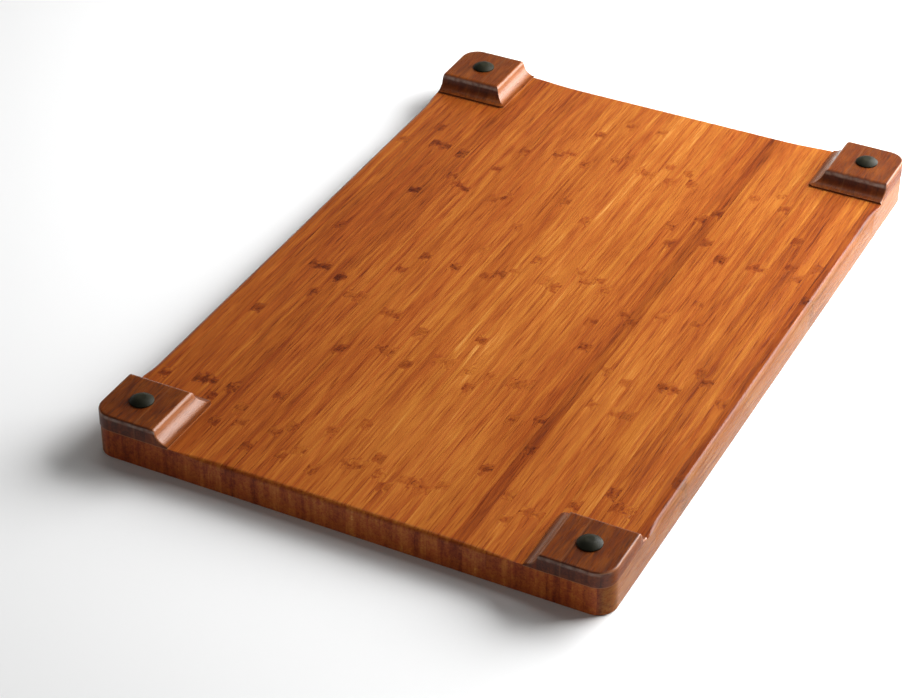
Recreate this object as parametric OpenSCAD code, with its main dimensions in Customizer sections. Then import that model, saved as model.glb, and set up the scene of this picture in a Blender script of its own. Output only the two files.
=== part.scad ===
// Laminated bamboo cutting board with a rubber-footed block glued under each corner.
//
// The board lies on its cutting face with its feet up. The origin is the middle of the
// cutting face, +X runs across the strips, +Y along them and +Z up towards the feet.
// "Front" is the end at -Y and "left" the side at -X.

/* [Board] */
// Length of the board, along the strips
board_length = 457.2; // [360:0.1:560]
// Width of the board, across the strips
board_width = 304.8; // [295:0.1:312]
// Thickness of the board without blocks and feet
board_thickness = 18.5; // [14:0.5:28]
// Radius of the four corners in plan
corner_radius = 11; // [7:0.5:14]

/* [Strips] */
// Number of strips glued face to face
strip_count = 45; // [45:1:45]
// Thickness of one strip, which stands on edge
strip_width = 6.8; // [6.7:0.01:6.85]
// What is left of the first strip once the glued panel has been sawn to width
first_strip_width = 5.3; // [2:0.1:6.5]

/* [Edges] */
// Radius of the stopped roundover along the upper edges, between the blocks
roundover = 3; // [1.5:0.5:4]
// Length over which the roundover dies out beside a block, on the long sides
side_run_out = 20; // [12:1:40]
// Length over which the roundover dies out beside a block, on the short ends
end_run_out = 36; // [30:2:36]
// Radius that eases the edges of the cutting face
lower_ease = 0.8; // [0.5:0.1:1.5]

/* [Corner blocks] */
// Reach of a block from the board's outer edges, the same in X and Y
block_reach = 47.5; // [44:0.5:60]
// Height of a block
block_height = 10; // [9:0.5:12]
// Width of a block's outer stave, up to the glue joint with its inner one
outer_stave_width = 27.2; // [24:0.2:34]
// Radius of the cove on a block's two inner sides
cove_radius = 8.5; // [7:0.1:9]
// Height of the flat toe that the cove runs out on
toe_height = 1.1; // [0.8:0.1:2]
// How far past the toe's edge the cove's lowest line would lie
toe_overrun = 1; // [0:0.1:1.5]
// Radius of the rounded shoulder between top and cove
shoulder_radius = 2.5; // [1:0.1:3]
// Plan radius of a toe's corner
toe_corner_radius = 3; // [1:0.5:6]
// Radius that eases a block's outer top edges
block_ease = 1.2; // [0.5:0.1:2]

/* [Feet] */
// Distance of a foot's axis from the board's outer edges
foot_inset = 20; // [16:0.5:20]
// Diameter of a foot's head
foot_diameter = 13.5; // [10:0.5:14]
// Height that a foot stands proud of its block
foot_height = 3; // [2.5:0.1:6]
// Height of the straight rim under the dome
foot_rim = 0.8; // [0.5:0.1:1.5]
// Diameter of the flat that the dome ends in
foot_flat = 5; // [3:0.5:7]
// Diameter of the stem that is pushed into the block
stem_diameter = 6; // [5:0.5:7]
// Depth of the stem's blind hole
stem_length = 8; // [5:0.5:8]

/* [Hidden] */
$fn = 64;
over = 1; // how far a cutting shape reaches past what it cuts

// Each corner's name and the way it lies: side in X, end in Y.
CORNERS = [
    ["front_left", -1, -1],
    ["front_right", 1, -1],
    ["rear_left", -1, 1],
    ["rear_right", 1, 1],
];

function strip_name(i) = str("strip_", i < 10 ? "0" : "", i);
function outer_name(corner) = str("block_", corner[0], "_outer");
function inner_name(corner) = str("block_", corner[0], "_inner");
function foot_name(corner) = str("foot_", corner[0]);

// The first and the last strip were sawn narrower or wider than the rest.
function strip_left(i) =
    -board_width / 2 + (i == 1 ? 0 : first_strip_width + (i - 2) * strip_width);
function strip_right(i) = i == strip_count ? board_width / 2 : strip_left(i + 1);

// The cove's axis, seen along the block's side: distance in from the outer edge, and height.
cove_x = block_reach + toe_overrun;
cove_z = toe_height + cove_radius;
// The shoulder's axis. Its arc touches the block's top and the cove's arc.
shoulder_z = block_height - shoulder_radius;
shoulder_x = cove_x - sqrt(pow(cove_radius + shoulder_radius, 2) - pow(cove_z - shoulder_z, 2));
// The height at which shoulder and cove meet.
meet_z = shoulder_z + (cove_z - shoulder_z) * shoulder_radius / (cove_radius + shoulder_radius);

// The sphere that a foot's dome is part of, through the rim's edge and the flat's edge.
dome_z = (pow(foot_flat / 2, 2) + pow(foot_height, 2) - pow(foot_diameter / 2, 2) - pow(foot_rim, 2))
    / (2 * (foot_height - foot_rim));
dome_radius = norm([foot_flat / 2, foot_height - dome_z]);

// What a roundover removes from a square edge: the edge is at the origin, the wood lies at
// negative x and negative y.
module edge_waste(radius) {
    difference() {
        translate([-radius, -radius]) square(radius + over);
        translate([-radius, -radius]) circle(radius);
    }
}

// The same waste along an edge through the origin that runs in Y and faces +X.
module straight_waste(radius, length) {
    rotate([90, 0, 0]) linear_extrude(length, center = true) edge_waste(radius);
}

// The waste round a rounded corner: the corner's axis is the Z axis, the arc faces +X +Y.
module corner_waste(radius, plan_radius) {
    rotate_extrude(angle = 90) translate([plan_radius, 0]) edge_waste(radius);
}

// A roundover that starts and stops within an edge. The cutter leaves on an arc that is
// tangent to the edge, so the rounding dies out over the run-out's length.
module stopped_waste(half_length, run_out) {
    arc = run_out * run_out / (2 * roundover) + roundover / 2;
    turn = acos(1 - (roundover + over / 2) / arc);
    straight = half_length - run_out;
    straight_waste(roundover, 2 * straight);
    for (flip = [0, 1]) mirror([0, flip, 0])
        translate([arc, straight, 0]) rotate([0, 0, 180 - turn])
            rotate_extrude(angle = turn) translate([arc, 0]) mirror([1, 0]) edge_waste(roundover);
}

// The lower edge is eased all the way round: four sides and four corners.
module lower_waste() {
    side_x = board_width / 2;
    end_y = board_length / 2;
    mirror([0, 0, 1]) {
        for (flip = [0, 1]) mirror([flip, 0, 0])
            translate([side_x, 0, 0]) straight_waste(lower_ease, board_length - 2 * corner_radius);
        for (turn = [90, 270]) rotate([0, 0, turn])
            translate([end_y, 0, 0]) straight_waste(lower_ease, board_width - 2 * corner_radius);
        for (flip_x = [0, 1], flip_y = [0, 1]) mirror([flip_x, 0, 0]) mirror([0, flip_y, 0])
            translate([side_x - corner_radius, end_y - corner_radius, 0])
                corner_waste(lower_ease, corner_radius);
    }
}

// What a rounded corner removes from a square one in plan: the corner is at the origin, the
// wood lies at positive x and positive y.
module plan_corner_waste(radius) {
    difference() {
        translate([-over, -over]) square(radius + over);
        translate([radius, radius]) circle(radius);
    }
}

// The panel after glue-up, sawn, routed and sanded, before it is told apart into its strips.
module panel() {
    half_x = board_width / 2;
    half_y = board_length / 2;
    difference() {
        translate([-half_x, -half_y, 0]) cube([board_width, board_length, board_thickness]);
        for (corner = CORNERS) at_corner(corner)
            translate([0, 0, -over]) linear_extrude(board_thickness + 2 * over)
                plan_corner_waste(corner_radius);
        translate([0, 0, board_thickness]) {
            for (flip = [0, 1]) mirror([flip, 0, 0])
                translate([half_x, 0, 0]) stopped_waste(half_y - block_reach, side_run_out);
            for (turn = [90, 270]) rotate([0, 0, turn])
                translate([half_y, 0, 0]) stopped_waste(half_x - block_reach, end_run_out);
        }
        lower_waste();
    }
}

// One bamboo strip: the panel between two glue joints.
module strip(i) {
    color(i % 2 == 0 ? "#b5682d" : "#a85c26")
        intersection() {
            panel();
            translate([strip_left(i), -board_length / 2 - over, -over])
                cube([strip_right(i) - strip_left(i), board_length + 2 * over, board_thickness + 2 * over]);
        }
}

// Puts a shape that is drawn inwards from the corner at the origin, at +X +Y, in its corner.
module at_corner(corner) {
    translate([corner[1] * board_width / 2, corner[2] * board_length / 2, 0])
        mirror([corner[1] > 0 ? 1 : 0, 0, 0])
            mirror([0, corner[2] > 0 ? 1 : 0, 0])
                children();
}

// Side view of a block: x in from the outer edge, y up. Flat top, rounded shoulder, cove, toe.
module block_profile() {
    difference() {
        square([block_reach, block_height]);
        translate([cove_x, cove_z]) circle(cove_radius);
        difference() {
            translate([shoulder_x, meet_z]) square([cove_radius, block_height]);
            translate([shoulder_x, shoulder_z]) circle(shoulder_radius);
        }
    }
}

// A whole block in its corner's own frame: the two profiles cross in a mitre.
module block_blank() {
    difference() {
        intersection() {
            linear_extrude(block_height) difference() {
                square(block_reach);
                plan_corner_waste(corner_radius);
                translate([block_reach, block_reach]) rotate(180) plan_corner_waste(toe_corner_radius);
            }
            translate([0, block_reach, 0]) rotate([90, 0, 0])
                linear_extrude(block_reach) block_profile();
            rotate([90, 0, 90]) linear_extrude(block_reach) block_profile();
        }
        translate([0, 0, block_height]) block_edge_waste();
        translate([foot_inset, foot_inset, block_height - stem_length])
            cylinder(d = stem_diameter, h = stem_length + over);
    }
}

// The easing of a block's outer top edges, round the corner between them.
module block_edge_waste() {
    run = block_reach - corner_radius + over;
    translate([0, corner_radius + run / 2, 0]) mirror([1, 0, 0]) straight_waste(block_ease, run);
    translate([corner_radius + run / 2, 0, 0]) rotate([0, 0, -90]) straight_waste(block_ease, run);
    translate([corner_radius, corner_radius, 0]) rotate([0, 0, 180])
        corner_waste(block_ease, corner_radius);
}

// The stave of a block that lies between two distances from the board's long side.
module stave(corner, from_x, to_x, tint) {
    color(tint)
        translate([0, 0, board_thickness]) at_corner(corner)
            intersection() {
                block_blank();
                translate([from_x, -over, -over])
                    cube([to_x - from_x, block_reach + 2 * over, block_height + 2 * over]);
            }
}

module outer_stave(corner) {
    stave(corner, 0, outer_stave_width, "#7a3415");
}

module inner_stave(corner) {
    stave(corner, outer_stave_width, block_reach, "#8a431d");
}

// A moulded rubber foot: a domed head on a stem that fills the block's blind hole.
module foot(corner) {
    color("#2d3330")
        translate([0, 0, board_thickness + block_height]) at_corner(corner)
            translate([foot_inset, foot_inset, 0]) {
                rotate_extrude() intersection() {
                    square([foot_diameter / 2, foot_height]);
                    translate([0, dome_z]) circle(dome_radius);
                }
                translate([0, 0, -stem_length]) cylinder(d = stem_diameter, h = stem_length);
            }
}

for (i = [1:strip_count]) strip(i);
for (corner = CORNERS) {
    outer_stave(corner);
    inner_stave(corner);
    foot(corner);
}
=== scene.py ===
"""Laminated bamboo cutting board that lies on its cutting face with its rubber feet up.

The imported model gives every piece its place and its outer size. Here each bamboo strip, each
stave of a corner block and each foot gets a finer mesh and its real finish: caramelised bamboo,
sanded and oiled to a satin sheen, and moulded rubber. Sizes are in millimetres until they go
into a mesh.
"""

import logging
import math
from collections.abc import Iterable, Sequence
from dataclasses import dataclass, field
from enum import Enum
from typing import Any

import bpy
import numpy as np
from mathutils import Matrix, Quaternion, Vector
from numpy.typing import NDArray


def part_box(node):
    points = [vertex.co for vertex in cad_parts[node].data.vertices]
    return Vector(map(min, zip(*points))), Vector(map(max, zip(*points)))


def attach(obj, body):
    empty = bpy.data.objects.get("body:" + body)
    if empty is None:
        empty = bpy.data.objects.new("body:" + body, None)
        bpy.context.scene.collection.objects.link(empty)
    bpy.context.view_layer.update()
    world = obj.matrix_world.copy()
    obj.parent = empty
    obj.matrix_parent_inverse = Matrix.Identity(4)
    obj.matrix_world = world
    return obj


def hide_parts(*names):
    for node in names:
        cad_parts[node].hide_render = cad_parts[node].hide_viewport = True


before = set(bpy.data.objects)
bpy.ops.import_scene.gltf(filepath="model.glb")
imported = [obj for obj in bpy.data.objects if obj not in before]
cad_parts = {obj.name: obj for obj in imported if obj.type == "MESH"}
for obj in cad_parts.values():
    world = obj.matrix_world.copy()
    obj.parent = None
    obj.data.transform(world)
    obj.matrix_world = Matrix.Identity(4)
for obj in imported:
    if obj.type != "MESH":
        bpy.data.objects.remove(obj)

Floats = NDArray[np.float64]
Ints = NDArray[np.int64]
Socket = bpy.types.NodeSocket
Tree = bpy.types.ShaderNodeTree

MM = 0.001

# Settings that many nodes share: an eased step, a noise with a seed, and a mix of two colours.
EASED: dict[str, Any] = {"interpolation_type": "SMOOTHSTEP"}
SEEDED: dict[str, Any] = {"noise_dimensions": "4D"}
COLOURS: dict[str, Any] = {"output": 2, "data_type": "RGBA"}

log = logging.getLogger("cutting_board")


# --- Colour and nodes ------------------------------------------------------------------------


def linear(code: str) -> tuple[float, float, float, float]:
    """Turns an sRGB hex colour into linear light.

    Args:
        code: The colour as "#RRGGBB".

    Returns:
        Red, green, blue and an alpha of 1.
    """
    levels = np.array([int(code[start : start + 2], 16) for start in (1, 3, 5)]) / 255
    curve = np.where(levels <= 0.04045, levels / 12.92, ((levels + 0.055) / 1.055) ** 2.4)
    return (float(curve[0]), float(curve[1]), float(curve[2]), 1.0)


def add(
    tree: Tree,
    kind: str,
    inputs: dict[int | str, Any] | None = None,
    output: int | str = 0,
    stops: Sequence[tuple[float, str]] = (),
    **settings: Any,
) -> Socket:
    """Adds a node to a tree, with its settings and links.

    Args:
        tree: The node tree.
        kind: The node's Blender type, less its prefix "ShaderNode".
        inputs: What goes into its sockets: another node's socket, or a plain value.
        output: The output to return.
        stops: For a colour ramp, the places and hex colours of its stops.
        **settings: The node's own properties.

    Returns:
        The output socket, or the first input of a node that has no output.
    """
    node = tree.nodes.new(f"ShaderNode{kind}")
    for name, value in settings.items():
        setattr(node, name, value)
    for name, value in (inputs or {}).items():
        if isinstance(value, bpy.types.NodeSocket):
            tree.links.new(value, node.inputs[name])
        else:
            node.inputs[name].default_value = value
    if stops:
        ramp = node.color_ramp
        while len(ramp.elements) < len(stops):
            ramp.elements.new(1.0)
        for element, (place, code) in zip(ramp.elements, stops):
            element.position = place
            element.color = linear(code)
    return node.outputs[output] if node.outputs else node.inputs[0]


def blank_material(name: str) -> tuple[bpy.types.Material, Tree]:
    """Makes a material with an empty node tree.

    Args:
        name: The material's name.

    Returns:
        The material and its tree.
    """
    material = bpy.data.materials.new(name)
    material.use_nodes = True
    material.node_tree.nodes.clear()
    return material, material.node_tree


# --- Meshes ----------------------------------------------------------------------------------


@dataclass
class Shell:
    """A closed shell: its points in mm, and its faces as rows of point numbers."""

    points: Floats
    quads: Ints
    triangles: Ints = field(default_factory=lambda: np.zeros((0, 3), dtype=np.int64))

    def turned_out(self) -> "Shell":
        """Turns all faces round if the shell is inside out, which a negative volume shows.

        The volume is the sum, over all triangles, of a sixth of each one's triple product.
        """
        halves = [self.quads[:, [0, 1, 2]], self.quads[:, [0, 2, 3]], self.triangles]
        a, b, c = (self.points[np.concatenate(halves)][:, corner] for corner in range(3))
        if np.einsum("ij,ij->", a, np.cross(b, c)) < 0:
            return Shell(self.points, self.quads[:, ::-1], self.triangles[:, ::-1])
        return self

    def corners(self) -> tuple[Floats, Floats]:
        """The place of every face corner, and beside each the middle of the face it is in."""
        places = []
        middles = []
        for faces in (self.quads, self.triangles):
            at = self.points[faces]
            places.append(at.reshape(-1, 3))
            middles.append(np.repeat(at.mean(axis=1), faces.shape[1], axis=0))
        return np.concatenate(places), np.concatenate(middles)


def slab(top: Floats, bottom: Floats, crease: bool = False) -> Shell:
    """Joins two grids of points, one above the other, into a closed slab.

    The two grids are the upper and the lower face, and their borders are joined by four walls.

    Args:
        top: Points of the upper face, as columns in X by stations in Y by 3.
        bottom: Points of the lower face, in the same order.
        crease: Whether cells of the upper face on its diagonal are halved along it.

    Returns:
        The slab, with its faces outwards.
    """
    columns, stations = top.shape[:2]
    upper = np.arange(columns * stations).reshape(columns, stations)
    lower = upper + columns * stations

    def cells(grid: Ints) -> Ints:
        """The four corners of every cell of a grid, turned towards +Z."""
        near, far = grid[:-1], grid[1:]
        return np.stack([near[:, :-1], far[:, :-1], far[:, 1:], near[:, 1:]], axis=-1)

    def wall(foot: Ints, head: Ints) -> Ints:
        """The quads between two borders."""
        return np.stack([foot[:-1], foot[1:], head[1:], head[:-1]], axis=-1)

    roof = cells(upper)
    halved = np.zeros(roof.shape[:2], dtype=bool)
    if crease:
        points = top[:, :, :2]
        on_line = np.isclose(points[..., 0], points[..., 1])
        halved = on_line[:-1, :-1] & on_line[1:, 1:]
    split = roof[halved]
    quads = [
        roof[~halved],
        cells(lower).reshape(-1, 4)[:, ::-1],
        wall(lower[:, 0], upper[:, 0]),
        wall(upper[:, -1], lower[:, -1]),
        wall(upper[0], lower[0]),
        wall(lower[-1], upper[-1]),
    ]
    triangles = np.concatenate([split[:, [0, 1, 2]], split[:, [0, 2, 3]]])
    points = np.concatenate([top.reshape(-1, 3), bottom.reshape(-1, 3)])
    return Shell(points, np.concatenate(quads), triangles).turned_out()


def lathe(profile: Floats, segments: int) -> Shell:
    """Turns a profile about the Z axis: each point's circle is its radius times cos and sin.

    Args:
        profile: Radius and height of each point, from the lower pole to the upper one. The two
            poles are the first and the last point, both at radius 0.
        segments: Number of points on each circle.

    Returns:
        The turned shell, closed at both poles.
    """
    turn = np.arange(segments) * (2 * math.pi / segments)
    radius, height = profile[1:-1, 0, None], profile[1:-1, 1, None]
    rings = np.stack([radius * np.cos(turn), radius * np.sin(turn), height + 0 * turn], axis=-1)
    count = len(rings)
    grid = np.arange(count * segments).reshape(count, segments)
    after = np.roll(grid, -1, axis=1)
    quads = np.stack([grid[:-1], after[:-1], after[1:], grid[1:]], axis=-1).reshape(-1, 4)
    low, high = count * segments, count * segments + 1
    floor = np.stack([np.full(segments, low), after[0], grid[0]], axis=-1)
    crown = np.stack([np.full(segments, high), grid[-1], after[-1]], axis=-1)
    poles = np.array([[0, 0, profile[0, 1]], [0, 0, profile[-1, 1]]])
    points = np.concatenate([rings.reshape(-1, 3), poles])
    return Shell(points, quads, np.concatenate([floor, crown])).turned_out()


def make_piece(name: str, shell: Shell, crease_angle: float = 35.0) -> bpy.types.Object:
    """Puts a shell into a new object that sits at the origin.

    Args:
        name: The piece's name.
        shell: Its shape, in mm.
        crease_angle: Edges sharper than this, in degrees, stay crisp in the shading.

    Returns:
        The object.
    """
    mesh = bpy.data.meshes.new(name)
    faces = shell.quads.tolist() + shell.triangles.tolist()
    mesh.from_pydata((shell.points * MM).tolist(), [], faces)
    mesh.shade_smooth()
    mesh.set_sharp_from_angle(angle=math.radians(crease_angle))
    mesh.update()
    piece = bpy.data.objects.new(name, mesh)
    bpy.context.scene.collection.objects.link(piece)
    return piece


def mark(piece: bpy.types.Object, name: str, domain: str, values: Floats) -> None:
    """Stores numbers on a piece's mesh for its material to read.

    Args:
        piece: The piece.
        name: The attribute's name.
        domain: "POINT" or "CORNER".
        values: One number, or one row of three, for each point or face corner.
    """
    plain = values.ndim == 1
    kind = "FLOAT" if plain else "FLOAT_VECTOR"
    layer = piece.data.attributes.new(name, kind, domain)
    layer.data.foreach_set("value" if plain else "vector", values.astype(np.float32).ravel())


def put_in_place(piece: bpy.types.Object, node: str, material: bpy.types.Material) -> None:
    """Lets a piece stand for its CAD node, whose mesh it hides, and dresses the piece.

    Args:
        piece: The finished piece.
        node: The CAD node it replaces.
        material: Its finish.
    """
    piece.data.materials.append(material)
    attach(piece, "root")
    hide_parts(node)
    low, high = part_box(node)
    log.info(
        "%s: %d faces, %.1f x %.1f x %.1f mm", piece.name, len(piece.data.polygons), *((high - low) / MM)
    )


# --- Shapes that board and blocks share ------------------------------------------------------


def quarter_round(radius: float, steps: int) -> Floats:
    """Distances in from an edge at which a quarter round is drawn: radius x (1 - sin angle)."""
    return radius * (1 - np.sin(np.linspace(math.pi / 2, 0, steps + 1)))


def rounding(depth: Floats | float, radius: float) -> Floats:
    """How far a rounded edge has dropped at a distance in from it.

    The drop is radius - sqrt(radius^2 - (radius - depth)^2) within the radius, and 0 past it.

    Args:
        depth: Distance in from the edge.
        radius: The rounding's radius.

    Returns:
        The drop.
    """
    short = np.clip(radius - depth, 0.0, radius)
    return radius - np.sqrt(radius**2 - short**2)


@dataclass(frozen=True)
class Outline:
    """A rectangle with rounded corners about the origin."""

    half_x: float
    half_y: float
    radius: float

    def reach(self, x: Floats) -> Floats:
        """Half the length at x: the corner's arc is sqrt(radius^2 - distance past its axis^2)."""
        past = np.clip(np.abs(x) - (self.half_x - self.radius), 0.0, self.radius)
        return self.half_y - self.radius + np.sqrt(self.radius**2 - past**2)

    def inset(self, x: Floats, y: Floats) -> Floats:
        """Distance in from the outline: to the corner's arc in a corner, else to the near side."""
        past_x = np.abs(x) - (self.half_x - self.radius)
        past_y = np.abs(y) - (self.half_y - self.radius)
        corner = self.radius - np.hypot(past_x, past_y)
        side = self.radius - np.maximum(past_x, past_y)
        return np.clip(np.where((past_x > 0) & (past_y > 0), corner, side), 0.0, None)


# --- Finishes --------------------------------------------------------------------------------


@dataclass(frozen=True)
class Bamboo:
    """Caramelised bamboo, laminated, sanded across fine grit and wiped with oil.

    To the eye that is a warm brown with fine streaks along the culm: the cut fibre bundles,
    about half a millimetre wide and some centimetres long, which are dots on the ends. Each
    strip has its own tone, a thin dark glue line beside it, and dark clouded marks where the
    culm had its nodes. The oil fills the pores, so the sheen is soft and even. The sawn sides
    are dull, and carry a paler tan as a painted sheen. Routed coves and roundings are paler,
    partly from fibres the router broke and partly as a painted highlight. On a block the
    shoulders cut across the fibres carry a painted grey highlight, and the line at its foot is
    partly glue and partly a painted highlight.

    Pitch and first_joint place the lamellae in mm, and the shades are on the scale of the stops,
    from 0 to 1. A glue_height is given only for a block: it is where its glue line lies.
    """

    name: str
    stops: tuple[tuple[float, str], ...]
    pitch: float
    first_joint: float
    lamella_spread: float
    roughness: float
    end_shade: float
    routed: float
    # How much painted sheen, a paler tan, the sawn sides get.
    side_sheen: float = 0.0
    gloss: float = 0.16
    end_hue: float = -0.005
    side_lean: float = 0.35
    side_gloss: float = 0.03
    glue_height: float | None = None
    shoulder_middle: float = 8.2
    stave_joint: float = 0.0

    # Mixed-in colours: a painted sheen for the sides, and colours that are wholly or partly painted
    # highlights.
    sheen_tan: str = "#7E5A34"
    scuff_and_highlight: str = "#8A5636"
    pale_highlight: str = "#A89488"
    glue: str = "#9C6B45"
    end_roughness: float = 0.14
    bundle: float = 0.6
    bundle_run: float = 13.0
    vein: float = 1.6
    vein_run: float = 70.0

    def material(self) -> bpy.types.Material:
        """Builds the material."""
        material, tree = blank_material(self.name)
        place = add(tree, "TexCoord", output="Object")
        here = add(tree, "VectorMath", {0: place, "Scale": 1 / MM}, operation="SCALE")
        seed = add(tree, "Attribute", output="Fac", attribute_name="seed")
        bend, near, core = self._culm_nodes(tree, here, seed)
        bundles, veins, hairs = self._fibres(tree, here, seed, bend, near)
        joint, lamella = self._joints(tree, here, seed)
        cut_end = self._facing(tree, "Y", 0.35, 0.95)
        shade = self._shade(tree, here, seed, bundles, veins, hairs, joint, lamella, cut_end)
        shade = self._darken(tree, shade, near, core, bend, cut_end)
        colour = add(tree, "ValToRGB", {0: shade}, stops=self.stops)
        hue = add(tree, "MapRange", {0: veins, 1: 0.35, 2: 0.65, 3: 0.497, 4: 0.503})
        hue = add(tree, "Math", {0: cut_end, 1: self.end_hue, 2: hue}, operation="MULTIPLY_ADD")
        colour = add(tree, "HueSaturation", {0: hue, "Color": colour})
        # The sawn sides get a painted sheen of paler tan and little gloss; routed faces get a paler colour
        # that is partly a painted highlight.
        side_face = self._facing(tree, "X", self.side_lean, self.side_lean + 0.3)
        colour = self._paint_side_sheen(tree, colour, side_face, bundles)
        gloss = add(tree, "MapRange", {0: side_face, 1: 0.0, 2: 1.0, 3: self.gloss, 4: self.side_gloss})
        colour = self._routed_faces(tree, colour, hairs)
        # On a block: a painted grey highlight on the shoulders, and pale lines, one of them partly a
        # painted highlight.
        if self.glue_height is not None:
            colour = self._painted_shoulder_highlight(tree, here, colour, cut_end)
            colour = self._glue(tree, here, colour)
        rough = add(
            tree,
            "MapRange",
            {0: bundles, 1: 0.3, 2: 0.7, 3: self.roughness + 0.05, 4: self.roughness - 0.05},
        )
        rough = add(tree, "Math", {0: cut_end, 1: self.end_roughness, 2: rough}, operation="MULTIPLY_ADD")
        relief = add(tree, "Math", {0: hairs, 1: -0.8, 2: bundles}, operation="MULTIPLY_ADD")
        bump = add(tree, "Bump", {"Height": relief, "Strength": 0.35, "Distance": 0.06 * MM})
        surface = add(
            tree,
            "BsdfPrincipled",
            {
                "Base Color": colour,
                "Roughness": rough,
                "Normal": bump,
                "IOR": 1.5,
                "Specular IOR Level": gloss,
            },
        )
        add(tree, "OutputMaterial", {"Surface": surface})
        return material

    def _culm_nodes(self, tree: Tree, here: Socket, seed: Socket) -> tuple[Socket, ...]:
        """Finds the culm's nodes on the surface.

        Args:
            tree: The material's tree.
            here: The place on the object in mm.
            seed: The strip's seed.

        Returns:
            A slow wander, how much the surface is within a node's cloud, and within its core.
        """
        culm = add(tree, "Attribute", output="Vector", attribute_name="culm")
        gap = add(tree, "SeparateXYZ", {0: culm}, output="X")
        weight = gap.node.outputs["Y"]
        bend = add(tree, "TexNoise", {"Vector": here, "W": seed, "Scale": 0.22, "Detail": 2.0}, **SEEDED)
        wander = add(tree, "MapRange", {0: bend, 1: 0.3, 2: 0.7, 3: -3.0, 4: 3.0})
        away = add(tree, "Math", {0: gap, 1: wander}, operation="ADD")
        away = add(tree, "Math", {0: away}, operation="ABSOLUTE")
        near = add(tree, "MapRange", {0: away, 1: 0.8, 2: 5.8, 3: weight, 4: 0.0}, **EASED)
        core = add(tree, "MapRange", {0: away, 1: 0.2, 2: 2.0, 3: weight, 4: 0.0}, **EASED)
        return bend, near, core

    def _fibres(
        self, tree: Tree, here: Socket, seed: Socket, bend: Socket, near: Socket
    ) -> tuple[Socket, ...]:
        """Draws the fibres, which run along the culm and swirl round its nodes.

        Args:
            tree: The material's tree.
            here: The place on the object in mm.
            seed: The strip's seed.
            bend: The slow wander.
            near: How near a node is.

        Returns:
            The fine bundles, the broader veins, and thin dark hairs, each from 0 to 1.
        """
        push = add(tree, "Math", {0: bend, 1: near}, operation="MULTIPLY")
        swirl = add(tree, "VectorMath", {0: (9.0, 0.0, 9.0), "Scale": push}, operation="SCALE")
        warped = add(tree, "VectorMath", {0: here, 1: swirl}, operation="ADD")
        layers = []
        for width, run, detail in (
            (self.bundle, self.bundle_run, 3.0),
            (self.vein, self.vein_run, 2.0),
            (0.7 * self.bundle, 0.8 * self.bundle_run, 1.0),
        ):
            stretched = add(
                tree, "VectorMath", {0: warped, 1: (1 / width, 1 / run, 1 / width)}, operation="MULTIPLY"
            )
            layers.append(
                add(
                    tree,
                    "TexNoise",
                    {"Vector": stretched, "W": seed, "Scale": 0.5, "Detail": detail},
                    **SEEDED,
                )
            )
        bundles, veins, hairs = layers
        hairs = add(tree, "MapRange", {0: hairs, 1: 0.54, 2: 0.7, 3: 0.0, 4: 1.0}, **EASED)
        return bundles, veins, hairs

    def _joints(self, tree: Tree, here: Socket, seed: Socket) -> tuple[Socket, Socket]:
        """Draws the glue lines between lamellae.

        Args:
            tree: The material's tree.
            here: The place on the object in mm.
            seed: The strip's seed; not used.

        Returns:
            How much of a glue line shows, and a random number for each lamella.
        """
        across = add(tree, "SeparateXYZ", {0: here}, output="X")
        turns = add(
            tree,
            "Math",
            {0: across, 1: 1 / self.pitch, 2: -self.first_joint / self.pitch},
            operation="MULTIPLY_ADD",
        )
        lamella = add(tree, "Math", {0: turns}, operation="FLOOR")
        number = add(tree, "TexWhiteNoise", {"W": lamella}, noise_dimensions="1D")
        aside = add(tree, "Math", {0: turns, 1: 0.5}, operation="PINGPONG")
        line = add(
            tree, "MapRange", {0: aside, 1: 0.1 / self.pitch, 2: 0.42 / self.pitch, 3: 1.0, 4: 0.0}, **EASED
        )
        along = add(tree, "VectorMath", {0: here, 1: (0.15, 0.012, 0.15)}, operation="MULTIPLY")
        shown = add(tree, "TexNoise", {"Vector": along, "Scale": 1.0, "Detail": 1.0})
        shown = add(tree, "MapRange", {0: shown, 1: 0.42, 2: 0.65, 3: 0.1, 4: 1.0})
        joint = add(tree, "Math", {0: line, 1: shown}, operation="MULTIPLY")
        return joint, number

    def _facing(self, tree: Tree, axis: str, start: float, stop: float, both: bool = True) -> Socket:
        """How much the surface faces along an axis, from the part of its normal along it.

        Args:
            tree: The material's tree.
            axis: "X", "Y" or "Z". The fibres run along Y, so a face along Y cuts across them.
            start: The part at which the surface begins to count.
            stop: The part from which it counts in full.
            both: Whether a face that looks the other way counts too.

        Returns:
            A number from 0 to 1.
        """
        normal = add(tree, "NewGeometry", output="Normal")
        part = add(tree, "SeparateXYZ", {0: normal}, output=axis)
        if both:
            part = add(tree, "Math", {0: part}, operation="ABSOLUTE")
        return add(tree, "MapRange", {0: part, 1: start, 2: stop, 3: 0.0, 4: 1.0}, **EASED)

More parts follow.
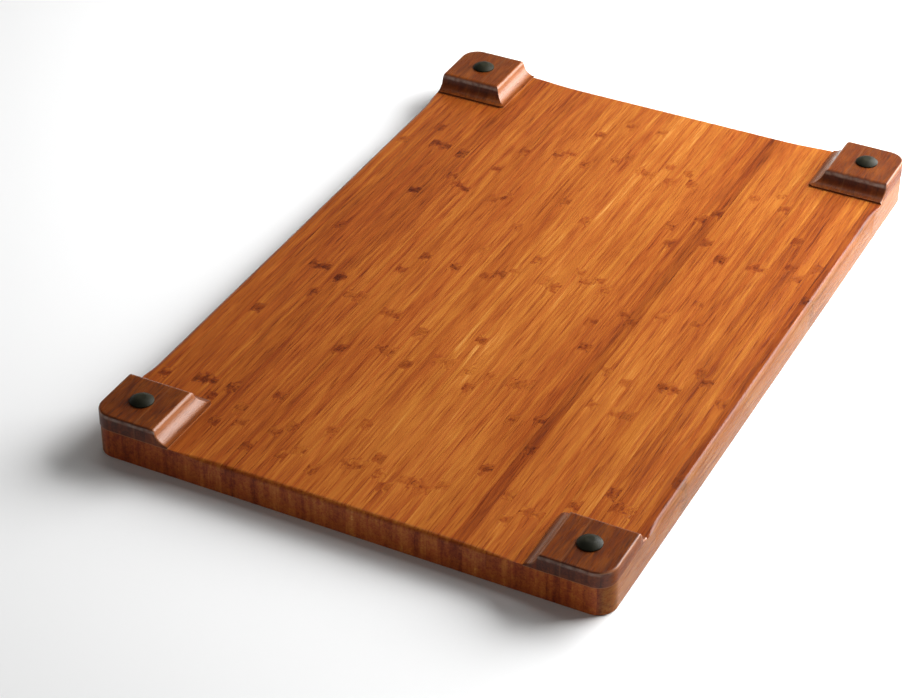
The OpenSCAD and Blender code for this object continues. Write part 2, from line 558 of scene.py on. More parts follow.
    def _shade(
        self,
        tree: Tree,
        here: Socket,
        seed: Socket,
        bundles: Socket,
        veins: Socket,
        hairs: Socket,
        joint: Socket,
        lamella: Socket,
        cut_end: Socket,
    ) -> Socket:
        """Adds up the shade of clear wood, from 0, darkest, to 1, palest.

        A sawn end shows less of the strip's own tone, and upright streaks of its layers instead.

        Args:
            tree: The material's tree.
            here: The place on the object in mm.
            seed: The strip's seed.
            bundles: The fine bundles.
            veins: The broader veins.
            hairs: The thin dark hairs.
            joint: How much of a glue line shows.
            lamella: A random number for each lamella.
            cut_end: How much the surface is a sawn end.

        Returns:
            The shade.
        """
        tone = add(tree, "Attribute", output="Fac", attribute_name="tone")
        kept = add(tree, "MapRange", {0: cut_end, 1: 0.0, 2: 1.0, 3: 1.0, 4: 0.75})
        tone = add(tree, "Math", {0: tone, 1: kept}, operation="MULTIPLY")
        bundles = add(tree, "Math", {0: bundles, 1: 0.5}, operation="SUBTRACT")
        bundles = add(tree, "Math", {0: bundles, 1: kept}, operation="MULTIPLY")
        hairs = add(tree, "Math", {0: hairs, 1: kept}, operation="MULTIPLY")
        upright = add(tree, "VectorMath", {0: here, 1: (0.24, 0.0, 0.02)}, operation="MULTIPLY")
        streaks = add(tree, "TexNoise", {"Vector": upright, "Scale": 1.0, "Detail": 2.0})
        streaks = add(tree, "Math", {0: streaks, 1: 0.5}, operation="SUBTRACT")
        streaks = add(tree, "Math", {0: streaks, 1: cut_end}, operation="MULTIPLY")
        cloud = add(tree, "TexNoise", {"Vector": here, "W": seed, "Scale": 0.016, "Detail": 2.0}, **SEEDED)
        shade = add(tree, "Math", {0: tone, 1: 0.5}, operation="ADD")
        for layer, amount, middle in (
            (bundles, 0.8, 0.0),
            (veins, 0.42, 0.5),
            (cloud, 0.28, 0.5),
            (lamella, self.lamella_spread, 0.5),
            (hairs, -0.2, 0.2),
            (joint, -0.14, 0.0),
            (streaks, 0.95, 0.0),
        ):
            shade = add(tree, "Math", {0: layer, 1: amount, 2: shade}, operation="MULTIPLY_ADD")
            shade = add(tree, "Math", {0: shade, 1: -amount * middle}, operation="ADD")
        return shade

    def _darken(
        self, tree: Tree, shade: Socket, near: Socket, core: Socket, bend: Socket, cut_end: Socket
    ) -> Socket:
        """Darkens the shade round culm nodes and on the sawn ends.

        Args:
            tree: The material's tree.
            shade: The shade of clear wood.
            near: How much the surface is within a node's cloud.
            core: How much it is within the node's core.
            bend: The slow wander, which makes the cloud patchy.
            cut_end: How much the surface is a sawn end.

        Returns:
            The darkened shade.
        """
        patchy = add(tree, "MapRange", {0: bend, 1: 0.35, 2: 0.6, 3: 0.55, 4: 1.0})
        cloud = add(tree, "Math", {0: near, 1: patchy}, operation="MULTIPLY")
        for layer, amount in ((cloud, -0.3), (core, -0.09), (cut_end, -self.end_shade)):
            shade = add(tree, "Math", {0: layer, 1: amount, 2: shade}, operation="MULTIPLY_ADD")
        return shade

    def _paint_side_sheen(
        self, tree: Tree, colour: Socket, side_face: Socket, bundles: Socket
    ) -> Socket:
        """Paints a paler tan on the sawn sides as a painted sheen, strongest on the raised bundles.

        Args:
            tree: The material's tree.
            colour: The wood's colour.
            side_face: How much the surface is a sawn side.
            bundles: The fine bundles.

        Returns:
            The colour with its painted sheen.
        """
        # Painted sheen: a paler tan mixed into the sawn sides, strongest on the raised bundles.
        sheen_on_bundles = add(tree, "MapRange", {0: bundles, 1: 0.36, 2: 0.62, 3: 0.45, 4: 1.35})
        sheen_on_bundles = add(tree, "Math", {0: sheen_on_bundles, 1: self.side_sheen}, operation="MULTIPLY")
        pale_and_painted_light = add(tree, "Math", {0: side_face, 1: sheen_on_bundles}, operation="MULTIPLY")
        return add(tree, "Mix", {0: pale_and_painted_light, 6: colour, 7: linear(self.sheen_tan)}, **COLOURS)

    def _routed_faces(self, tree: Tree, colour: Socket, hairs: Socket) -> Socket:
        """Lightens coves and roundings that run along the fibres.

        There the router breaks fibres loose and the oil hardly holds, and the paler colour is also
        a painted highlight. Such a face leans over: its normal has a part along X and a part along Z.

        Args:
            tree: The material's tree.
            colour: The wood's colour.
            hairs: The thin dark hairs, which stay dark.

        Returns:
            The colour with its lighter faces.
        """
        across = self._facing(tree, "X", 0.22, 0.5)
        up = self._facing(tree, "Z", 0.08, 0.3, both=False)
        leaning = add(tree, "Math", {0: across, 1: up}, operation="MULTIPLY")
        pale_highlight = add(tree, "MapRange", {0: hairs, 1: 0.0, 2: 1.0, 3: 1.0, 4: 0.6})
        pale_highlight = add(tree, "Math", {0: pale_highlight, 1: self.routed}, operation="MULTIPLY")
        pale_and_painted_light = add(tree, "Math", {0: leaning, 1: pale_highlight}, operation="MULTIPLY")
        # Paler colour on faces that lean along X: partly fibres the router broke, partly a painted
        # highlight.
        return add(tree, "Mix", {0: pale_and_painted_light, 6: colour, 7: linear(self.scuff_and_highlight)}, **COLOURS)

    def _painted_shoulder_highlight(
        self, tree: Tree, here: Socket, colour: Socket, cut_end: Socket
    ) -> Socket:
        """Paints a patchy grey highlight on the shoulders that the router cut across the fibres.

        The patches are a painted highlight, broken up by noise. They lie at the height of the
        shoulder, and below them the cove is dark with oil.

        Args:
            tree: The material's tree.
            here: The place on the object in mm.
            colour: The wood's colour.
            cut_end: How much the surface cuts across the fibres.

        Returns:
            The colour with its painted grey highlight.
        """
        height = add(tree, "SeparateXYZ", {0: here}, output="Z")
        middle = self.glue_height + self.shoulder_middle
        away = add(tree, "Math", {0: height, 1: middle}, operation="SUBTRACT")
        away = add(tree, "Math", {0: away}, operation="ABSOLUTE")
        band = add(tree, "MapRange", {0: away, 1: 0.2, 2: 1.5, 3: 0.7, 4: 0.0}, **EASED)
        leaning = self._facing(tree, "Z", 0.05, 0.3, both=False)
        patches = add(tree, "TexNoise", {"Vector": here, "Scale": 0.33, "Detail": 3.0})
        patches = add(tree, "MapRange", {0: patches, 1: 0.35, 2: 0.62, 3: 0.35, 4: 1.0})
        pale_highlight = add(tree, "Math", {0: band, 1: patches}, operation="MULTIPLY")
        pale_highlight = add(tree, "Math", {0: pale_highlight, 1: leaning}, operation="MULTIPLY")
        across = add(tree, "MapRange", {0: cut_end, 1: 0.0, 2: 0.35, 3: 0.0, 4: 1.0})
        pale_highlight = add(tree, "Math", {0: pale_highlight, 1: across}, operation="MULTIPLY")
        # Painted highlight: a pale grey band, broken into patches, on shoulders that cut across the fibres.
        return add(tree, "Mix", {0: pale_highlight, 6: colour, 7: linear(self.pale_highlight)}, **COLOURS)

    def _glue(self, tree: Tree, here: Socket, colour: Socket) -> Socket:
        """Draws a thin pale glued seam in the block's joint, and a pale line where the block stands
        on the board, which is partly glue and partly a painted highlight on the arris there.

        Args:
            tree: The material's tree.
            here: The place on the object in mm.
            colour: The wood's colour.

        Returns:
            The colour with both lines.
        """
        across = add(tree, "SeparateXYZ", {0: here}, output="X")
        across = add(tree, "Math", {0: across}, operation="ABSOLUTE")
        aside = add(tree, "Math", {0: across, 1: self.stave_joint}, operation="SUBTRACT")
        aside = add(tree, "Math", {0: aside}, operation="ABSOLUTE")
        seam = add(tree, "MapRange", {0: aside, 1: 0.1, 2: 0.7, 3: 0.15, 4: 0.0}, **EASED)
        colour = add(tree, "Mix", {0: seam, 6: colour, 7: linear(self.glue)}, **COLOURS)
        height = add(tree, "SeparateXYZ", {0: here}, output="Z")
        # Pale line at the block's foot: partly glue, partly a painted highlight on the arris.
        above = add(
            tree,
            "MapRange",
            {0: height, 1: self.glue_height + 0.15, 2: self.glue_height + 0.55, 3: 0.55, 4: 0.0},
            **EASED,
        )
        return add(tree, "Mix", {0: above, 6: colour, 7: linear(self.glue)}, **COLOURS)


@dataclass(frozen=True)
class Rubber:
    """Dark synthetic rubber, moulded in a spark-eroded tool.

    To the eye it is a dull greenish black. The tool's fine pitting, drawn at 0.35 mm so that it
    shows, breaks up the sheen, and handling leaves a thin pale haze of dust.
    """

    name: str = "moulded_rubber"
    body: str = "#1A1A12"
    dust: str = "#302E22"
    grain: float = 0.35
    roughness: float = 0.48
    gloss: float = 0.07

    def material(self) -> bpy.types.Material:
        """Builds the material."""
        material, tree = blank_material(self.name)
        place = add(tree, "TexCoord", output="Object")
        pits = add(tree, "TexNoise", {"Vector": place, "Scale": 1 / (self.grain * MM), "Detail": 2.0})
        haze = add(tree, "TexNoise", {"Vector": place, "Scale": 1 / (6 * MM), "Detail": 4.0})
        dusty = add(tree, "MapRange", {0: haze, 1: 0.4, 2: 0.75, 3: 0.0, 4: 0.6})
        colour = add(tree, "Mix", {0: dusty, 6: linear(self.body), 7: linear(self.dust)}, **COLOURS)
        rough = add(
            tree, "MapRange", {0: pits, 1: 0.3, 2: 0.7, 3: self.roughness - 0.08, 4: self.roughness + 0.1}
        )
        bump = add(tree, "Bump", {"Height": pits, "Strength": 0.4, "Distance": 0.05 * MM})
        surface = add(
            tree,
            "BsdfPrincipled",
            {
                "Base Color": colour,
                "Roughness": rough,
                "Normal": bump,
                "IOR": 1.52,
                "Specular IOR Level": self.gloss,
            },
        )
        add(tree, "OutputMaterial", {"Surface": surface})
        return material


# --- The panel of strips ---------------------------------------------------------------------


class Shade(Enum):
    """How pale a strip came out of the steamer, as an offset on the finish's scale."""

    PALE = 0.16
    LIGHT = 0.08
    PLAIN = 0.0
    RUDDY = -0.08
    BROWN = -0.13
    DARK = -0.2


@dataclass(frozen=True)
class Strip:
    """One strip: its shade, and its culm nodes' places along Y from the board's middle."""

    shade: Shade
    nodes: tuple[float, ...] = ()
    dark_nodes: tuple[float, ...] = ()


# The strips from left to right, as they were laid up.
CUTTING_LIST = (
    Strip(Shade.BROWN, (198, -204)),
    Strip(Shade.RUDDY, (117, -168)),
    Strip(Shade.BROWN, (204, -196)),
    Strip(Shade.BROWN, (142, 9, -89)),
    Strip(Shade.RUDDY, (), (122, -35, -164)),
    Strip(Shade.RUDDY, (), (122, -35, -164)),
    Strip(Shade.BROWN, (-61, -175), (66,)),
    Strip(Shade.BROWN, (-163,), (119, -40)),
    Strip(Shade.RUDDY, (92, -195)),
    Strip(Shade.PLAIN, (84, -54, -178)),
    Strip(Shade.PLAIN, (-54, -190), (81,)),
    Strip(Shade.PLAIN, (112, -17, -159)),
    Strip(Shade.RUDDY, (139, 2, -105, -206)),
    Strip(Shade.PLAIN, (79, -60, -188)),
    Strip(Shade.PLAIN, (84, -60, -180)),
    Strip(Shade.PLAIN, (145, -94, -206), (-1,)),
    Strip(Shade.LIGHT, (150, 25, -94, -196)),
    Strip(Shade.LIGHT, (180, 55, -173), (-69,)),
    Strip(Shade.PLAIN, (142, 0, -100, -208)),
    Strip(Shade.PLAIN, (199, 96, -160), (5,)),
    Strip(Shade.LIGHT, (155, 11, -89, -195)),
    Strip(Shade.LIGHT, (162, 30, -89, -194)),
    Strip(Shade.LIGHT, (200, 80, -183), (-61,)),
    Strip(Shade.PALE, (150, 11, -91, -196)),
    Strip(Shade.LIGHT, (148, 7, -105, -204)),
    Strip(Shade.PALE, (163, 28, -91, -194)),
    Strip(Shade.LIGHT, (147, 20, -195)),
    Strip(Shade.LIGHT, (161, 25, -90, -196)),
    Strip(Shade.LIGHT, (151, 17, -89, -189)),
    Strip(Shade.PLAIN, (100, -15, -120)),
    Strip(Shade.PLAIN, (82,), (-40, -166)),
    Strip(Shade.RUDDY, (115, 0, -115)),
    Strip(Shade.DARK, (125, -6, -140)),
    Strip(Shade.PLAIN, (93, -56, -180)),
    Strip(Shade.LIGHT, (153, 6, -88, -199)),
    Strip(Shade.LIGHT, (-61, -189), (79,)),
    Strip(Shade.LIGHT, (163, 29, -90, -189)),
    Strip(Shade.PLAIN, (149, 8, -90)),
    Strip(Shade.PLAIN, (79, -173), (-55,)),
    Strip(Shade.LIGHT, (79, -195), (-55,)),
    Strip(Shade.RUDDY, (117, -33, -155)),
    Strip(Shade.RUDDY, (89, -165), (-41,)),
    Strip(Shade.LIGHT, (79, -165)),
    Strip(Shade.PLAIN, (95, -55)),
    Strip(Shade.DARK, (60, -130)),
)


@dataclass
class Panel:
    """The board itself: bamboo strips on edge, glued face to face and routed as one panel."""

    material: bpy.types.Material
    corner_radius: float = 11.0
    roundover: float = 3.0
    block_reach: float = 47.5
    side_run_out: float = 20.0
    end_run_out: float = 36.0
    lower_ease: float = 0.8
    crisp_edge: float = 0.35
    station_pitch: float = 3.0
    arc_steps: int = 10
    node_weight: float = 0.55
    dark_node_weight: float = 1.0

    def __post_init__(self) -> None:
        """Takes the panel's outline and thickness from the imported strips."""
        count = sum(name.startswith("strip_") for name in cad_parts)
        self.names = [f"strip_{number:02d}" for number in range(1, count + 1)]
        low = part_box(self.names[0])[0] / MM
        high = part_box(self.names[-1])[1] / MM
        self.outline = Outline(high.x, high.y, self.corner_radius)
        self.thickness = high.z - low.z

    def build(self) -> list[bpy.types.Object]:
        """Builds and dresses every strip."""
        return [
            self._strip(number, name, strip)
            for number, (name, strip) in enumerate(zip(self.names, CUTTING_LIST))
        ]

    def _shift(self, along: Floats, half_length: float, run_out: float) -> Floats:
        """How far the round cutter stands off the edge at a place along it.

        Up to the run-out it touches. Then it leaves on an arc that is tangent to the edge, so
        the shift is arc - sqrt(arc^2 - distance into the run-out^2).

        Args:
            along: Distance along the edge from its middle.
            half_length: Half the length between the blocks.
            run_out: The run-out's length.

        Returns:
            The shift, which stays short of the radius so that the edge is never quite sharp.
        """
        arc = run_out**2 / (2 * self.roundover) + self.roundover / 2
        into = np.clip(np.abs(along) - (half_length - run_out), 0.0, run_out)
        shift = arc - np.sqrt(arc**2 - into**2)
        return np.minimum(shift, self.roundover - self.crisp_edge)

    def _side_shift(self, y: Floats) -> Floats:
        """The cutter's shift along the long sides."""
        return self._shift(y, self.outline.half_y - self.block_reach, self.side_run_out)

    def _end_shift(self, x: Floats) -> Floats:
        """The cutter's shift along the short ends."""
        return self._shift(x, self.outline.half_x - self.block_reach, self.end_run_out)

    def _top(self, x: Floats, y: Floats) -> Floats:
        """Height of the upper face: the thickness less what either roundover has taken."""
        side = rounding(self.outline.half_x - np.abs(x) + self._side_shift(y), self.roundover)
        end = rounding(self.outline.half_y - np.abs(y) + self._end_shift(x), self.roundover)
        return self.thickness - np.maximum(side, end)

    def _bottom(self, x: Floats, y: Floats) -> Floats:
        """Height of the cutting face, which is eased all round."""
        return rounding(self.outline.inset(x, y), self.lower_ease)

    def _columns(self, left: float, right: float) -> Floats:
        """Places across a strip: its faces, its middle, and what the panel's edges need."""
        bow = self.corner_radius * (1 - np.cos(np.linspace(0, math.pi / 2, 12)))
        steps = [
            quarter_round(self.roundover, self.arc_steps),
            quarter_round(self.lower_ease, self.arc_steps // 2),
            bow,
        ]
        inwards = self.outline.half_x - np.concatenate(steps)
        near_edge = np.concatenate([-inwards, inwards])
        inner = near_edge[(near_edge > left + 0.05) & (near_edge < right - 0.05)]
        places = np.concatenate([[left, (left + right) / 2, right], inner])
        return np.unique(np.round(places, 2))

    def _stations(self, x: Floats, radius: Floats, shift: Floats) -> Floats:
        """Places along a strip at each of its columns.

        Both ends hold the arc of an edge rounding. Its angle runs from asin((radius - shift) /
        radius), at the end, to 0, and the distance in is radius - shift - radius x sin(angle).
        Between the arcs the places are evenly spread.

        Args:
            x: The columns.
            radius: The rounding's radius at each column.
            shift: How far its axis is shifted outwards at each column.

        Returns:
            Columns by stations.
        """
        reach = self.outline.reach(x)[:, None]
        radius, shift = radius[:, None], shift[:, None]
        start = np.arcsin((radius - shift) / radius)
        angle = start * np.linspace(1, 0, self.arc_steps + 1)
        arc = reach - (radius - shift - radius * np.sin(angle))
        inner = arc[:, -1:] - 0.4
        count = 2 * round(self.outline.half_y / self.station_pitch)
        middle = inner * np.linspace(-1, 1, count + 1)
        return np.concatenate([-arc, middle, arc[:, ::-1]], axis=1)

    def _shell(self, left: float, right: float) -> Shell:
        """The shape of the strip between two joints."""
        x = self._columns(left, right)
        x[0], x[-1] = left, right
        same = np.ones_like(x)
        upper_y = self._stations(x, self.roundover * same, self._end_shift(x))
        lower_y = self._stations(x, self.lower_ease * same, 0 * same)
        upper_x = x[:, None] + 0 * upper_y
        lower_x = x[:, None] + 0 * lower_y
        top = np.stack([upper_x, upper_y, self._top(upper_x, upper_y)], axis=-1)
        bottom = np.stack([lower_x, lower_y, self._bottom(lower_x, lower_y)], axis=-1)
        return slab(top, bottom)

    def _strip(self, number: int, name: str, strip: Strip) -> bpy.types.Object:
        """Builds one strip, marks its culm nodes and its tone on it, and dresses it."""
        low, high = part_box(name)
        shell = self._shell(low.x / MM, high.x / MM)
        piece = make_piece(f"bamboo_{name}", shell)
        nodes = np.array(strip.nodes + strip.dark_nodes, dtype=float)
        weights = np.repeat(
            [self.node_weight, self.dark_node_weight], [len(strip.nodes), len(strip.dark_nodes)]
        )
        places, middles = shell.corners()
        nearest = np.abs(middles[:, 1, None] - nodes).argmin(axis=1)
        gap = places[:, 1] - nodes[nearest]
        mark(piece, "culm", "CORNER", np.stack([gap, weights[nearest], 0 * gap], axis=-1))
        points = np.ones(len(shell.points))
        mark(piece, "seed", "POINT", (7.3 * number + 1.7) * points)
        mark(piece, "tone", "POINT", strip.shade.value * points)
        put_in_place(piece, name, self.material)
        return piece


# --- The corner blocks -----------------------------------------------------------------------


@dataclass
class CornerBlocks:
    """Four blocks, each glued up from two staves, with a cove on its two inner sides."""

    material: bpy.types.Material
    reach: float = 47.5
    cove_radius: float = 8.5
    toe_height: float = 1.1
    toe_overrun: float = 1.0
    shoulder_radius: float = 2.5
    toe_corner_radius: float = 3.0
    corner_radius: float = 11.0
    ease: float = 1.2
    stem_diameter: float = 6.0
    hole_depth: float = 8.0
    flat_pitch: float = 1.7
    far: float = 200.0

    def __post_init__(self) -> None:
        """Works out the profile's axes, as the shoulder touches both the top and the cove."""
        low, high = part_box("block_front_left_outer")
        self.base = low.z / MM
        self.height = (high.z - low.z) / MM
        self.stave = (high.x - low.x) / MM
        self.cove_x = self.reach + self.toe_overrun
        self.cove_z = self.toe_height + self.cove_radius
        self.shoulder_z = self.height - self.shoulder_radius
        span = self.cove_radius + self.shoulder_radius
        rise = self.cove_z - self.shoulder_z
        self.shoulder_x = self.cove_x - math.sqrt(span**2 - rise**2)
        part = self.shoulder_radius / span
        self.meet_x = self.shoulder_x + part * (self.cove_x - self.shoulder_x)

    def build(self) -> list[bpy.types.Object]:
        """Builds and dresses both staves of every block."""
        pieces = []
        for number, node in enumerate(sorted(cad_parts)):
            if node.startswith("block_"):
                pieces.append(self._stave_piece(number, node))
        return pieces

    def _profile(self, across: Floats) -> Floats:
        """Height of a block's side view at a distance in from the board's outer edge.

        The top is flat. The shoulder is z = axis + sqrt(r^2 - (x - axis)^2), and the cove is
        z = axis - sqrt(R^2 - (x - axis)^2).

        Args:
            across: The distance.

        Returns:
            The height above the board.
        """
        turn = np.clip(across - self.shoulder_x, 0.0, self.shoulder_radius)
        shoulder = self.shoulder_z + np.sqrt(self.shoulder_radius**2 - turn**2)
        sweep = np.clip(self.cove_x - across, 0.0, self.cove_radius)
        cove = self.cove_z - np.sqrt(self.cove_radius**2 - sweep**2)
        return np.where(across < self.meet_x, shoulder, cove)

    def _marks(self) -> Floats:
        """Distances from the outer edge at which both sides of a block are drawn."""
        corner = self.corner_radius * (1 - np.cos(np.linspace(0, math.pi / 2, 13)))
        flat = np.arange(self.corner_radius, self.shoulder_x - 0.5, self.flat_pitch)
        turn = math.asin((self.meet_x - self.shoulder_x) / self.shoulder_radius)
        shoulder = self.shoulder_x + self.shoulder_radius * np.sin(np.linspace(0, turn, 11))
        start = math.acos((self.cove_x - self.meet_x) / self.cove_radius)
        stop = math.acos(self.toe_overrun / self.cove_radius)
        cove = self.cove_x - self.cove_radius * np.cos(np.linspace(start, stop, 15))
        places = [
            quarter_round(self.ease, 6),
            corner,
            flat,
            [self.shoulder_x - 0.4],
            shoulder,
            cove,
            [self.stave, self.reach - self.toe_corner_radius, self.reach],
        ]
        marks = np.unique(np.round(np.concatenate(places), 3))
        close = np.diff(marks, prepend=-1.0) < 0.09
        fixed = np.isin(marks, np.round([self.stave, self.reach], 3))
        return marks[~close | fixed]

    def _round_corner(self, u: Floats, v: Floats, axis: float, radius: float) -> tuple[Floats, Floats]:
        """Bends the grid's square corner into a quarter disc, which keeps its diagonal straight.

        In units of the radius, measured from the disc's axis, a point (a, b) of the square goes
        to (a sqrt(1 - b^2 / 2), b sqrt(1 - a^2 / 2)).

        Args:
            u: First distance from the outer edges.
            v: Second distance.
            axis: Where the disc's axis lies, the same both ways.
            radius: The disc's radius, negative for a disc that lies towards the outer edges.

        Returns:
            Both distances after the bend.
        """
        a, b = (u - axis) / radius, (v - axis) / radius
        inside = (a > 0) & (b > 0)
        a, b = np.where(inside, a, 0.0), np.where(inside, b, 0.0)
        bent_u = axis + radius * a * np.sqrt(1 - b**2 / 2)
        bent_v = axis + radius * b * np.sqrt(1 - a**2 / 2)
        return np.where(inside, bent_u, u), np.where(inside, bent_v, v)

    def _grid(self, from_u: float, to_u: float) -> tuple[Floats, Floats]:
        """Both distances from the outer edges on a grid over one stave."""
        marks = self._marks()
        rows = marks[(marks > from_u - 1e-3) & (marks < to_u + 1e-3)]
        u, v = np.meshgrid(rows, marks, indexing="ij")
        u, v = self._round_corner(u, v, self.corner_radius, -self.corner_radius)
        toe_axis = self.reach - self.toe_corner_radius
        return self._round_corner(u, v, toe_axis, self.toe_corner_radius)

    def _shell(self, inner: bool, side: int, end: int) -> Shell:
        """The shape of one stave.

        Its height is the lower of the two side views, so they cross in a mitre, less the
        rounding of the outer top edges.

        Args:
            inner: Whether it is the stave away from the long side.
            side: -1 for the left blocks, 1 for the right ones.
            end: -1 for the front blocks, 1 for the rear ones.

        Returns:
            The shell, in the board's frame.
        """
        limits = (self.stave, self.reach) if inner else (0.0, self.stave)
        u, v = self._grid(*limits)
        far = Outline(self.far, self.far, self.corner_radius)
        inset = far.inset(self.far - u, self.far - v)
        height = np.minimum(self._profile(u), self._profile(v)) - rounding(inset, self.ease)
        shell = slab(np.stack([u, v, height], axis=-1), np.stack([u, v, 0 * u], axis=-1), crease=True)
        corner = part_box(self._outer_node(side, end))
        edge_x = side * max(abs(corner[0].x), abs(corner[1].x)) / MM
        edge_y = end * max(abs(corner[0].y), abs(corner[1].y)) / MM
        placed = shell.points * [-side, -end, 1] + [edge_x, edge_y, self.base]
        return Shell(placed, shell.quads, shell.triangles).turned_out()

    def _outer_node(self, side: int, end: int) -> str:
        """The name of the CAD node of a block's outer stave."""
        return f"block_{'front' if end < 0 else 'rear'}_{'left' if side < 0 else 'right'}_outer"

    def _drill(self, piece: bpy.types.Object, node: str) -> None:
        """Drills the blind hole for the foot's stem with a Boolean, and keeps its result.

        Args:
            piece: The outer stave.
            node: Its CAD node.
        """
        low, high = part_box(node.replace("block", "foot").removesuffix("_outer"))
        middle = (low + high) / 2 / MM
        radius = self.stem_diameter / 2
        top = self.base + self.height
        profile = np.array([[0, -self.hole_depth], [radius, -self.hole_depth], [radius, 1], [0, 1]])
        drill = lathe(profile, 64)
        drill.points += [middle.x, middle.y, top]
        tool = make_piece("drill", drill)
        cut = piece.modifiers.new("blind_hole", "BOOLEAN")
        cut.object = tool
        cut.operation = "DIFFERENCE"
        cut.solver = "EXACT"
        scene_state = bpy.context.evaluated_depsgraph_get()
        finished = bpy.data.meshes.new_from_object(piece.evaluated_get(scene_state))
        piece.modifiers.clear()
        piece.data = finished
        bpy.data.objects.remove(tool)

    def _stave_piece(self, number: int, node: str) -> bpy.types.Object:
        """Builds one stave, marks its seed and tone on it, and dresses it."""
        side = -1 if "_left_" in node else 1
        end = -1 if "_front_" in node else 1
        inner = node.endswith("_inner")
        piece = make_piece(f"bamboo_{node}", self._shell(inner, side, end))
        if not inner:
            self._drill(piece, node)
        points = np.ones(len(piece.data.vertices))
        mark(piece, "seed", "POINT", (5.1 * number + 3.9) * points)
        mark(piece, "tone", "POINT", (0.03 if inner else -0.03) * points)
        put_in_place(piece, node, self.material)
        return piece


# --- The feet --------------------------------------------------------------------------------


@dataclass
class Feet:
    """Four moulded rubber feet: a domed head on a stem that fills the block's blind hole."""

    material: bpy.types.Material
    rim: float = 0.8
    crown: float = 5.0
    stem_diameter: float = 6.0
    stem_length: float = 8.0
    stem_bevel: float = 0.4
    soft_edge: float = 0.25
    segments: int = 96

    def build(self) -> list[bpy.types.Object]:
        """Builds and dresses every foot."""
        nodes = sorted(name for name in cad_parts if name.startswith("foot_"))
        return [self._foot(node) for node in nodes]

    def _profile(self, radius: float, height: float) -> Floats:
        """A foot's profile from the stem's end to the crown.

        The dome is part of the sphere through the rim's upper edge and the crown's edge: its
        height is axis + sqrt(R^2 - radius^2).

        Args:
            radius: The head's radius.
            height: The head's height above the block.

        Returns:
            Radius and height of each point.
        """
        flat = self.crown / 2
        axis = (flat**2 + height**2 - radius**2 - self.rim**2) / (2 * (height - self.rim))
        dome_radius = math.hypot(flat, height - axis)
        turn = np.linspace(math.pi / 2, 0, 6)
        edge = self.soft_edge
        lower = [(radius - edge + edge * math.cos(a), edge - edge * math.sin(a)) for a in turn]
        out = np.linspace(radius, flat, 22)
        dome = np.stack([out, axis + np.sqrt(dome_radius**2 - out**2)], axis=-1)
        stem, tip, bevel = self.stem_diameter / 2, -self.stem_length, self.stem_bevel
        foot = [(0.0, tip), (stem - bevel, tip), (stem, tip + bevel), (stem, 0.0)]
        head = [(0.5 * flat, height), (0.0, height)]
        return np.concatenate([foot, lower, dome, head])

    def _foot(self, node: str) -> bpy.types.Object:
        """Builds and dresses one foot."""
        low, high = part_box(node)
        middle = (low + high) / 2 / MM
        head = (high.z - low.z) / MM - self.stem_length
        shell = lathe(self._profile((high.x - low.x) / 2 / MM, head), self.segments)
        shell.points += [middle.x, middle.y, high.z / MM - head]
        piece = make_piece(f"rubber_{node}", shell, crease_angle=40.0)
        put_in_place(piece, node, self.material)
        return piece


# --- The studio ------------------------------------------------------------------------------


@dataclass(frozen=True)
class Softbox:
    """A large soft lamp that faces the board.

    Its azimuth is counted from +Y towards +X, in degrees, and its glow is its radiance.
    """

    name: str
    azimuth: float
    elevation: float
    distance: float
    width: float
    height: float
    glow: float

    def build(self) -> None:
        """Hangs the lamp. A flat lamp's power is its radiance times pi times its area."""
        lamp = bpy.data.lights.new(self.name, "AREA")
        lamp.shape = "RECTANGLE"
        lamp.size = self.width
        lamp.size_y = self.height
        lamp.energy = self.glow * math.pi * self.width * self.height
        holder = bpy.data.objects.new(self.name, lamp)
        turn, rise = math.radians(self.azimuth), math.radians(self.elevation)
        level = math.cos(rise)
        away = Vector((math.sin(turn) * level, math.cos(turn) * level, math.sin(rise)))
        holder.location = away * self.distance
        holder.rotation_euler = away.to_track_quat("Z", "Y").to_euler()
        holder.visible_camera = False
        bpy.context.scene.collection.objects.link(holder)


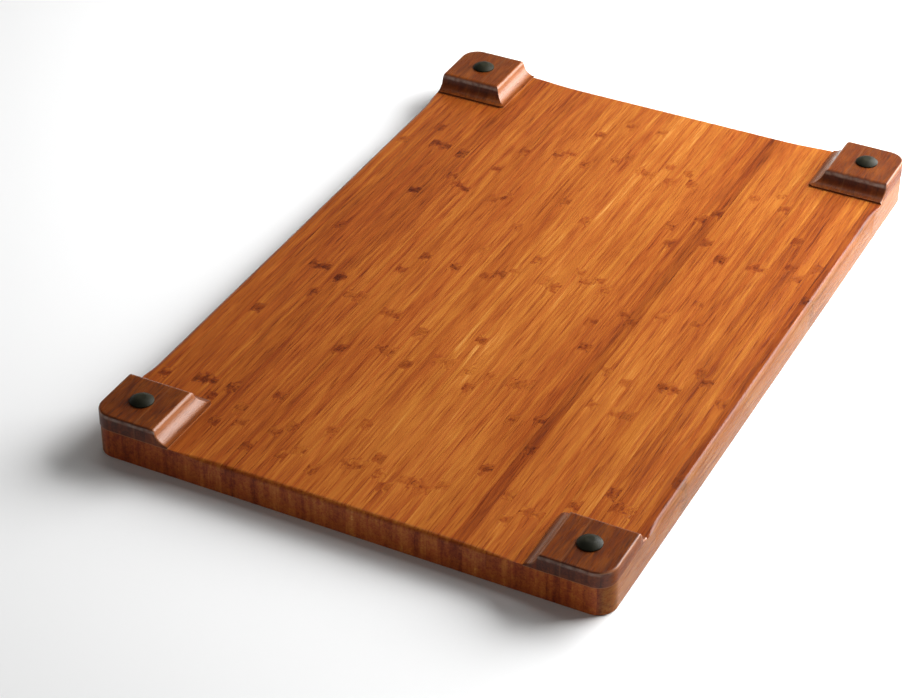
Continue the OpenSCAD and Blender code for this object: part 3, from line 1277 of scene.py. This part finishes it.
@dataclass
class Studio:
    """A white floor, soft lamps from behind on the right, and the camera.

    The camera's azimuth is counted from the board's front towards +X, and all lengths are in
    metres except the lens, which is in millimetres.
    """

    floor_size: float = 14.0
    azimuth: float = 26.62
    elevation: float = 35.07
    roll: float = 0.32
    distance: float = 1.4774
    aim: tuple[float, float, float] = (-0.0241, -0.0525, 0.0)
    lens: float = 102.5
    lamps: Iterable[Softbox] = (
        Softbox("key", 40.5, 25.0, 0.95, 0.96, 1.13, 12.9),
        Softbox("ceiling", 0.0, 80.0, 1.3, 1.2, 0.3, 2.0),
    )

    def build(self) -> None:
        """Sets up floor, lamps, surroundings and camera."""
        self._floor()
        for lamp in self.lamps:
            lamp.build()
        self._surroundings()
        self._camera()
        bpy.context.scene.view_settings.view_transform = "Standard"

    def _floor(self) -> None:
        """Lays the floor: matt white board, with a grain that only breaks up its sheen."""
        half = self.floor_size / 2
        mesh = bpy.data.meshes.new("floor")
        corners = [(-half, -half, 0), (half, -half, 0), (half, half, 0), (-half, half, 0)]
        mesh.from_pydata(corners, [], [(0, 1, 2, 3)])
        floor = bpy.data.objects.new("floor", mesh)
        bpy.context.scene.collection.objects.link(floor)
        material, tree = blank_material("matt_white_board")
        place = add(tree, "TexCoord", output="Object")
        grain = add(tree, "TexNoise", {"Vector": place, "Scale": 300.0})
        rough = add(tree, "MapRange", {0: grain, 3: 0.8, 4: 1.0})
        surface = add(
            tree,
            "BsdfPrincipled",
            {"Base Color": (0.86, 0.865, 0.87, 1.0), "Roughness": rough, "Specular IOR Level": 0.2},
        )
        add(tree, "OutputMaterial", {"Surface": surface})
        mesh.materials.append(material)

    def _surroundings(self) -> None:
        """Surrounds the set with a pale wall that darkens towards the ceiling."""
        world = bpy.data.worlds.new("studio")
        bpy.context.scene.world = world
        world.use_nodes = True
        tree = world.node_tree
        tree.nodes.clear()
        direction = add(tree, "TexCoord", output="Generated")
        up = add(tree, "SeparateXYZ", {0: direction}, output="Z")
        rear = up.node.outputs["Y"]
        colour = add(
            tree,
            "ValToRGB",
            {0: up},
            stops=((0.0, "#F0EEEB"), (0.28, "#D9D7D3"), (0.5, "#4C4A48"), (1.0, "#33312F")),
        )
        strength = add(tree, "MapRange", {0: rear, 1: -0.4, 2: 0.6, 3: 0.85, 4: 1.0}, **EASED)
        glow = add(tree, "Background", {"Color": colour, "Strength": strength})
        add(tree, "OutputWorld", {"Surface": glow})

    def _camera(self) -> None:
        """Sets the camera on its orbit round the point it aims at."""
        camera = bpy.data.cameras.new("camera")
        camera.lens = self.lens
        camera.sensor_width = 36.0
        holder = bpy.data.objects.new("camera", camera)
        turn, rise = math.radians(self.azimuth), math.radians(self.elevation)
        level = math.cos(rise)
        back = Vector((math.sin(turn) * level, -math.cos(turn) * level, math.sin(rise)))
        holder.location = Vector(self.aim) + back * self.distance
        level_turn = back.to_track_quat("Z", "Y")
        holder.rotation_euler = (Quaternion(back, math.radians(self.roll)) @ level_turn).to_euler()
        bpy.context.scene.collection.objects.link(holder)
        bpy.context.scene.camera = holder


def main() -> None:
    """Builds the studio, then the board from its strips, blocks and feet, and logs their sizes and count.
    """
    logging.basicConfig(level=logging.INFO, format="%(name)s %(message)s")
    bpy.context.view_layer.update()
    Studio().build()
    strip_bamboo = Bamboo(
        name="caramelised_bamboo",
        stops=((0.0, "#461908"), (0.25, "#72320F"), (0.5, "#914A1A"), (0.75, "#A86327"), (1.0, "#C58B4C")),
        pitch=6.8,
        first_joint=-147.1,
        lamella_spread=0.0,
        roughness=0.26,
        end_shade=0.08,
        # The strips' routed roundings get a paler colour, partly a painted highlight.
        routed=0.15,
        # The sawn sides of the strips get a painted sheen of paler tan.
        side_sheen=0.5,
    )
    blocks_low, blocks_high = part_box("block_front_left_outer")
    block_bamboo = Bamboo(
        name="dark_caramelised_bamboo",
        stops=((0.0, "#2A1105"), (0.3, "#4C2109"), (0.5, "#602D0D"), (0.75, "#773C17"), (1.0, "#93562D")),
        pitch=6.8,
        first_joint=blocks_low.x / MM,
        lamella_spread=0.08,
        roughness=0.28,
        end_shade=0.16,
        # The blocks' routed coves get a much paler colour, partly a painted highlight.
        routed=0.8,
        gloss=0.24,
        side_lean=0.7,
        side_gloss=0.04,
        bundle_run=5.0,
        vein=2.4,
        vein_run=9.0,
        glue_height=blocks_low.z / MM,
        stave_joint=-blocks_high.x / MM,
    )
    pieces = Panel(strip_bamboo.material()).build()
    pieces += CornerBlocks(block_bamboo.material()).build()
    pieces += Feet(Rubber().material()).build()
    log.info("%d pieces", len(pieces))


if __name__ == "__main__":
    main()
